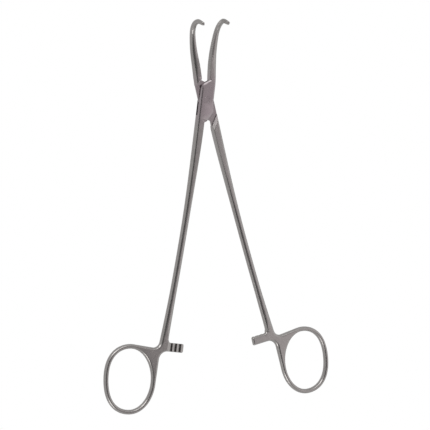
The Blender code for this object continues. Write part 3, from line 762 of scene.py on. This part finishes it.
def edge_bevel(name, start, end, width, slope, side):
    """A cutter that bevels an edge to the right of a line, on the front (side 1) or the back."""
    line = Vector(end) - Vector(start)
    out = Vector((line.y, -line.x)).normalized()
    drop = (width + BEVEL_PAST) * math.tan(slope)
    section = [(-width, 0), (BEVEL_PAST, -drop), (BEVEL_PAST, OVERCUT), (-width, OVERCUT)]
    bm = bmesh.new()
    ends = []
    for point in (start, end):
        verts = []
        for away, height in section:
            place = Vector(point) + out * away
            verts.append(bm.verts.new((place.x, place.y, side * (HALF_LOCK + height))))
        ends.append(verts)
    prism(bm, *ends)
    return solid_object(name, bm)


def cheek_bevels(side):
    """The ground edges of a cheek: the oblique top, which runs out into the jaw, and the foot."""
    top = [(x, cheek_top(x)) for x in BEVEL_TOP_ENDS]
    beyond = (2 * CHEEK_TIP[0] - CHEEK_BEND[0], 2 * CHEEK_TIP[1] - CHEEK_BEND[1])
    foot = [CHEEK_BEND, beyond]
    return [
        edge_bevel("cheek_top_bevel", *top, BEVEL_TOP_WIDTH, BEVEL_TOP_SLOPE, side),
        edge_bevel("cheek_foot_bevel", *foot, BEVEL_FOOT_WIDTH, BEVEL_FOOT_SLOPE, side),
    ]


def jaw_bevel():
    """The ground edge of the tongue half's jaw, where it faces the front cheek's oblique top."""
    line = [(x, cheek_top(x) + SLANTED_GAP + SHOULDER_OPEN) for x in BEVEL_JAW_ENDS]
    return edge_bevel("jaw_foot_bevel", *line, BEVEL_JAW_WIDTH, BEVEL_JAW_SLOPE, 1)


def settle(obj, cutters, turn, material):
    """Makes the cuts, moves the piece to where its half lies, and gives it its steel."""
    for cutter in cutters:
        modifier = obj.modifiers.new(cutter.name, "BOOLEAN")
        modifier.operation = "DIFFERENCE"
        modifier.object = cutter
        modifier.solver = "EXACT"
    bpy.context.view_layer.update()
    graph = bpy.context.evaluated_depsgraph_get()
    mesh = bpy.data.meshes.new_from_object(obj.evaluated_get(graph))
    obj.modifiers.clear()
    obj.data = mesh
    for cutter in cutters:
        bpy.data.objects.remove(cutter)
    mesh.transform(Matrix.Translation((0, 0, HALF_LOCK)) @ Matrix.Rotation(turn, 4, "Z"))
    mesh.materials.clear()
    mesh.materials.append(material)
    mesh.shade_smooth()
    mesh.set_sharp_from_angle(angle=SHARP_ANGLE)
    weighted = obj.modifiers.new("even_faces", "WEIGHTED_NORMAL")
    weighted.keep_sharp = True
    return obj


def box_lock_half(material):
    """The half with the cheeks: a slot between them, the rivet's seat, and ground edges."""
    half = forging("box_half_steel", False)
    half_slot = TONGUE_THICKNESS / 2 + SLIDE_GAP
    cutters = [
        plate("tongue_slot", slot_outline(), -half_slot, half_slot),
        round_bar("rivet_seat", RIVET_SEAT, -LOCK_THICKNESS, LOCK_THICKNESS),
        serration_cutter("box_jaw_grooves", False),
        ratchet_cutter("box_ratchet_teeth", -1),
        *cheek_bevels(1),
        *cheek_bevels(-1),
    ]
    return settle(half, cutters, -OPENING / 2, material)


def tongue_half(material):
    """The half with the tongue: a recess on each side of it, bevelled shoulders, and a bore."""
    half = forging("tongue_half_steel", True)
    face = TONGUE_THICKNESS / 2
    bore = RIVET_DIAMETER / 2 + RIVET_RUNNING_GAP
    cutters = [
        plate("front_recess", recess_outline(), face, LOCK_THICKNESS),
        plate("back_recess", recess_outline(), -LOCK_THICKNESS, -face),
        shoulder_bevel("front_shoulder_bevel", 1),
        shoulder_bevel("back_shoulder_bevel", -1),
        jaw_bevel(),
        round_bar("rivet_bore", bore, -HALF_LOCK, HALF_LOCK),
        serration_cutter("tongue_jaw_grooves", True),
        ratchet_cutter("tongue_ratchet_teeth", 1),
    ]
    return settle(half, cutters, OPENING / 2, material)


def rivet_profile():
    """Radius and height along the rivet's skin, from the front dish over both bevels to the back."""
    rim = RIVET_SEAT - RIVET_BEVEL
    front = []
    for step in range(1, DISH_STEPS + 1):
        share = step / DISH_STEPS
        front.append((rim * share, HALF_LOCK - (1 - share ** 2) * RIVET_DISH))
    front.append((RIVET_SEAT, HALF_LOCK - RIVET_BEVEL))
    return front + [(radius, -height) for radius, height in front[::-1]]


def joint_rivet(material):
    """The rivet: it fills its seat, and its ends are ground flush, faintly dished and bevelled."""
    bm = bmesh.new()
    turns = [2 * math.pi * step / ROUND_STEPS for step in range(ROUND_STEPS)]
    rings = []
    for radius, height in rivet_profile():
        ring = [(radius * math.cos(turn), radius * math.sin(turn), height) for turn in turns]
        rings.append([bm.verts.new(place) for place in ring])
    for upper, lower in zip(rings, rings[1:]):
        join_rows(bm, lower, upper)
    for ring, side in ((rings[0], 1), (rings[-1], -1)):
        middle = bm.verts.new((0, 0, side * (HALF_LOCK - RIVET_DISH)))
        for index in range(ROUND_STEPS):
            bm.faces.new((middle, ring[index], ring[(index + 1) % ROUND_STEPS]))
    return settle(solid_object("joint_rivet_steel", bm), [], -OPENING / 2, material)


# Nodes

def connect(tree, value, socket):
    """Feeds an input from another node's output, or sets it to a plain value."""
    if isinstance(value, bpy.types.NodeSocket):
        tree.links.new(value, socket)
    else:
        socket.default_value = value


def feed(tree, node, values):
    """Feeds each named input of a node, and gives back the node's outputs."""
    for label, value in values.items():
        connect(tree, value, node.inputs[label])
    return node.outputs


def place_group(tree, group, values):
    """Puts a group into a material and feeds its inputs."""
    node = tree.nodes.new("ShaderNodeGroup")
    node.node_tree = group
    return feed(tree, node, values)


def operation_node(tree, kind, operation, operands):
    """A node for arithmetic. Each operand is a value or another node's output."""
    node = tree.nodes.new(kind)
    node.operation = operation
    for value, socket in zip(operands, node.inputs):
        connect(tree, value, socket)
    return node


def calculate(tree, operation, *operands):
    """The number that a Math node gives."""
    return operation_node(tree, "ShaderNodeMath", operation, operands).outputs["Value"]


def calculate_vector(tree, operation, *operands):
    """The vector, length or product that a Vector Math node gives."""
    node = operation_node(tree, "ShaderNodeVectorMath", operation, operands)
    return node.outputs["Value" if operation in ("DOT_PRODUCT", "LENGTH") else "Vector"]


def combine(tree, x, y=0, z=0):
    """A vector made of its three parts."""
    return feed(tree, tree.nodes.new("ShaderNodeCombineXYZ"), {"X": x, "Y": y, "Z": z})["Vector"]


def rescale(tree, value, span, results=(0, 1)):
    """Takes a value from one span to another, and holds it between the ends."""
    node = tree.nodes.new("ShaderNodeMapRange")
    numbers = dict(zip(("From Min", "From Max", "To Min", "To Max"), (*span, *results)))
    return feed(tree, node, {"Value": value, **numbers})["Result"]


def noise(tree, vector, detail, roughness):
    """Noise whose coarsest waves are about one unit of the vector long."""
    node = tree.nodes.new("ShaderNodeTexNoise")
    values = {"Vector": vector, "Scale": 1, "Detail": detail, "Roughness": roughness}
    return feed(tree, node, values)["Fac"]


def mix_colours(tree, share, first, second):
    """The first colour where the share is 0, and the second where it is 1."""
    node = tree.nodes.new("ShaderNodeMix")
    node.data_type = "RGBA"
    return feed(tree, node, {"Factor": share, "A": first, "B": second})["Result"]


def new_group(name, inputs, outputs):
    """A shader node group with named sockets: its tree, the values given to it, and its results."""
    tree = bpy.data.node_groups.new(name, "ShaderNodeTree")
    for in_out, sockets in (("INPUT", inputs), ("OUTPUT", outputs)):
        for label, kind in sockets.items():
            tree.interface.new_socket(label, in_out=in_out, socket_type="NodeSocket" + kind)
    given = tree.nodes.new("NodeGroupInput").outputs
    result = tree.nodes.new("NodeGroupOutput").inputs
    return tree, given, result


def new_material(name):
    """A material and its node tree."""
    material = bpy.data.materials.new(name)
    material.use_nodes = True
    return material, material.node_tree


# Finishes

def satin_grain():
    """Fine brushed lines and soft clouds, as a satin wheel leaves them. Sizes are in metres."""
    inputs = {"Vector": "Vector", "Line Width": "Float", "Line Length": "Float", "Cloud Size": "Float"}
    outputs = {"Lines": "Float", "Clouds": "Float"}
    tree, given, result = new_group("satin_grain", inputs, outputs)
    width, length, cloud = given["Line Width"], given["Line Length"], given["Cloud Size"]
    along = calculate_vector(tree, "DIVIDE", given["Vector"], combine(tree, width, length, width))
    around = calculate_vector(tree, "DIVIDE", given["Vector"], combine(tree, cloud, cloud, cloud))
    connect(tree, noise(tree, along, *LINE_NOISE), result["Lines"])
    connect(tree, noise(tree, around, *CLOUD_NOISE), result["Clouds"])
    return tree


def crevice_shade_and_tarnish():
    """A mask of painted shade and tarnish in grooves and corners, sheltered within Reach."""
    inputs = {"Reach": "Float", "Strength": "Float", "Breakup": "Float"}
    tree, given, result = new_group("crevice_shade_and_tarnish", inputs, {"Mask": "Float"})
    # Ambient occlusion of the surface: the more sheltered it is, the more painted shade it gets
    shelter = tree.nodes.new("ShaderNodeAmbientOcclusion")
    shelter.only_local = True
    shelter.samples = SHADE_TARNISH_SAMPLES
    openness = feed(tree, shelter, {"Distance": given["Reach"]})["AO"]
    closed = rescale(tree, openness, SHADE_TARNISH_SPAN)
    patchy = calculate(tree, "MULTIPLY_ADD", given["Breakup"], *SHADE_TARNISH_PATCHES)
    mask = calculate(tree, "MULTIPLY", closed, patchy)
    mask = calculate(tree, "MULTIPLY", mask, given["Strength"])
    connect(tree, calculate(tree, "MINIMUM", mask, 1), result["Mask"])
    return tree


def edge_polish():
    """A mask of the edges that handling keeps bright, and a normal that rounds sharp edges off."""
    inputs = {"Radius": "Float", "Breakup": "Float"}
    outputs = {"Mask": "Float", "Normal": "Vector"}
    tree, given, result = new_group("edge_polish", inputs, outputs)
    bevel = tree.nodes.new("ShaderNodeBevel")
    bevel.samples = EDGE_SAMPLES
    rounded = feed(tree, bevel, {"Radius": given["Radius"]})["Normal"]
    surface = tree.nodes.new("ShaderNodeNewGeometry").outputs["Normal"]
    same = calculate_vector(tree, "DOT_PRODUCT", rounded, surface)
    worn = rescale(tree, same, EDGE_SPAN)
    patchy = calculate(tree, "MULTIPLY_ADD", given["Breakup"], *EDGE_PATCHES)
    mask = calculate(tree, "MULTIPLY", worn, patchy)
    connect(tree, calculate(tree, "MINIMUM", mask, 1), result["Mask"])
    connect(tree, rounded, result["Normal"])
    return tree


def grain_place(tree, turn, turned):
    """Where the grain is read: along the half, or by the distance from the axis if it is turned."""
    place = tree.nodes.new("ShaderNodeTexCoord").outputs["Object"]
    if turned:
        flat = calculate_vector(tree, "MULTIPLY", place, (1, 1, 0))
        return combine(tree, calculate_vector(tree, "LENGTH", flat))
    lined_up = tree.nodes.new("ShaderNodeMapping")
    return feed(tree, lined_up, {"Vector": place, "Rotation": (0, 0, -turn)})["Vector"]


def satin_steel(name, groups, turn, finish):
    """Satin stainless steel: brushed and cloudy, with painted shade and tarnish in grooves, bright edges.
    """
    material, tree = new_material(name)
    place = grain_place(tree, turn, finish["turned"])
    sizes = {
        "Line Width": finish["line_width"],
        "Line Length": finish["line_length"],
        "Cloud Size": finish["cloud_size"],
    }
    grain = place_group(tree, groups["grain"], {"Vector": place, **sizes})
    clouds, lines = grain["Clouds"], grain["Lines"]
    crevices = {"Reach": SHADE_TARNISH_REACH, "Strength": finish["shade_and_tarnish"], "Breakup": clouds}
    shade_and_tarnish = place_group(tree, groups["shade_and_tarnish"], crevices)["Mask"]
    edges = place_group(tree, groups["polish"], {"Radius": EDGE_BREAK, "Breakup": clouds})
    cloudy = calculate(tree, "MULTIPLY", clouds, 1 - LINE_SHARE)
    shade = calculate(tree, "MULTIPLY_ADD", lines, LINE_SHARE, cloudy)
    bloom_share = (BLOOM_SHARE, 0)
    bloom = rescale(tree, calculate_vector(tree, "LENGTH", place), BLOOM_SPAN, bloom_share)
    colour = mix_colours(tree, rescale(tree, shade, SHADE_SPAN), finish["dark"], finish["light"])
    colour = mix_colours(tree, bloom, colour, BLOOM_COLOUR)
    colour = mix_colours(tree, edges["Mask"], colour, EDGE_COLOUR)
    # Painted shade and tarnish: the crevices are darkened towards a near-black colour
    colour = mix_colours(tree, shade_and_tarnish, colour, SHADE_TARNISH_COLOUR)
    rough = calculate(tree, "MULTIPLY_ADD", shade, finish["roughness_range"], finish["roughness"])
    rough = calculate(tree, "MULTIPLY_ADD", edges["Mask"], -EDGE_GLOSS, rough)
    rough = calculate(tree, "MULTIPLY_ADD", shade_and_tarnish, SHADE_TARNISH_ROUGHNESS, rough)
    bumps = {"Strength": 1, "Distance": finish["relief"], "Height": shade, "Normal": edges["Normal"]}
    relief = feed(tree, tree.nodes.new("ShaderNodeBump"), bumps)["Normal"]
    skin = {"Base Color": colour, "Metallic": 1, "Roughness": rough, "Normal": relief}
    feed(tree, tree.nodes["Principled BSDF"], skin)
    return material


# Studio and camera

def photo_camera():
    """A long lens, a little to the left of square, with the pivot where the photograph has it."""
    swing, lift, roll = CAMERA_SWING, CAMERA_LIFT, CAMERA_ROLL
    back = Vector((math.sin(swing) * math.cos(lift), math.sin(lift), math.cos(swing) * math.cos(lift)))
    level_right = (-back).cross(Vector((0, 1, 0))).normalized()
    level_up = level_right.cross(-back)
    right = level_right * math.cos(roll) + level_up * math.sin(roll)
    up = level_up * math.cos(roll) - level_right * math.sin(roll)
    across, down = PIVOT_PIXEL[0] - IMAGE_SIDE / 2, PIVOT_PIXEL[1] - IMAGE_SIDE / 2
    place = Vector((0, 0, HALF_LOCK)) - PIXEL * (right * across - up * down - back * FOCAL_PIXELS)
    data = bpy.data.cameras.new("photo_camera")
    data.sensor_width = SENSOR_WIDTH
    data.lens = FOCAL_PIXELS * SENSOR_WIDTH / IMAGE_SIDE
    data.clip_start, data.clip_end = CLIPPING
    camera = new_object("photo_camera", data)
    turn = Matrix((right, up, back)).transposed().to_4x4()
    camera.matrix_world = Matrix.Translation(place) @ turn
    bpy.context.scene.camera = camera
    return camera


def seen_rays(tree):
    """A value of 1 for rays that come from the camera, a mirror or glass."""
    path = tree.nodes.new("ShaderNodeLightPath").outputs
    seen = path["Is Camera Ray"]
    for label in ("Is Glossy Ray", "Is Transmission Ray"):
        seen = calculate(tree, "MAXIMUM", seen, path[label])
    return seen


def white_surroundings():
    """An even white world."""
    world = bpy.data.worlds.new("white_surroundings")
    bpy.context.scene.world = world
    world.use_nodes = True
    world.node_tree.nodes["Background"].inputs["Color"].default_value = NEUTRAL


def white_floor():
    """A plain white floor under the box lock, as bright in a mirror as it is to the camera."""
    bm = bmesh.new()
    bmesh.ops.create_grid(bm, x_segments=1, y_segments=1, size=FLOOR_REACH)
    floor = mesh_object("floor", bm)
    floor.location = (0, 0, -FLOOR_DROP)
    material, tree = new_material("white_floor")
    lit = feed(tree, tree.nodes["Principled BSDF"], {"Base Color": FLOOR_COLOUR})["BSDF"]
    glow = tree.nodes.new("ShaderNodeEmission").outputs["Emission"]
    mix = tree.nodes.new("ShaderNodeMixShader")
    for value, socket in zip((seen_rays(tree), lit, glow), mix.inputs):
        connect(tree, value, socket)
    connect(tree, mix.outputs["Shader"], tree.nodes["Material Output"].inputs["Surface"])
    floor.data.materials.append(material)


def glowing(name, level, tint):
    """A surface of one even brightness and tint."""
    material, tree = new_material(name)
    emission = tree.nodes.new("ShaderNodeEmission")
    glow = feed(tree, emission, {"Color": tint, "Strength": level})["Emission"]
    connect(tree, glow, tree.nodes["Material Output"].inputs["Surface"])
    return material


def hang(name, bm, level, tint):
    """Puts a glowing surface into the studio, which shows only in the steel's reflections."""
    obj = mesh_object(name, bm)
    obj.visible_camera = False
    obj.visible_shadow = False
    obj.data.materials.append(glowing(name, level, tint))
    return obj


def grey_tent():
    """A light tent of grey cloth all round, and a grey mat on the floor."""
    bm = bmesh.new()
    rows = TENT_STEPS // 2
    bmesh.ops.create_uvsphere(bm, u_segments=TENT_STEPS, v_segments=rows, radius=TENT_RADIUS)
    hang("grey_tent", bm, TENT_LEVEL, NEUTRAL)
    bm = bmesh.new()
    bmesh.ops.create_circle(bm, cap_ends=True, segments=TENT_STEPS, radius=TENT_RADIUS)
    mat = hang("grey_mat", bm, MAT_LEVEL, NEUTRAL)
    mat.location = (0, 0, -FLOOR_DROP / 2)


def hang_card(camera, away, name, across, up, width, height, level, tint):
    """A card inside the tent, placed by its angles to the right of the lens and above it."""
    bm = bmesh.new()
    grid = bmesh.ops.create_grid(bm, x_segments=CARD_STEPS, y_segments=CARD_STEPS, size=0.5)
    turn = camera.matrix_world.to_3x3()
    for vert in grid["verts"]:
        side = math.radians(across + vert.co.x * width)
        lift = math.radians(up + vert.co.y * height)
        place = (math.sin(side) * math.cos(lift), math.sin(lift), math.cos(side) * math.cos(lift))
        vert.co = turn @ Vector(place) * away
    hang(name, bm, level, tint)


def main():
    """Sets up the studio, and puts each steel piece on its body in place of its CAD node."""
    bpy.context.scene.view_settings.view_transform = "Standard"
    camera = photo_camera()
    white_surroundings()
    white_floor()
    grey_tent()
    for order, card in enumerate(CARDS):
        hang_card(camera, TENT_RADIUS * (CARD_REACH - CARD_SPACING * order), *card)
    groups = {"grain": satin_grain(), "shade_and_tarnish": crevice_shade_and_tarnish(), "polish": edge_polish()}
    half = box_lock_half(satin_steel("satin_steel_of_box_half", groups, -OPENING / 2, SATIN))
    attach(half, "box_half")
    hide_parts("box_lock_half")
    tongue = tongue_half(satin_steel("satin_steel_of_tongue_half", groups, OPENING / 2, SATIN))
    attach(tongue, "tongue_half")
    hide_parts("tongue_half")
    rivet = joint_rivet(satin_steel("turned_steel_of_rivet", groups, 0, TURNED))
    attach(rivet, "box_half")
    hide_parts("joint_rivet")


main()
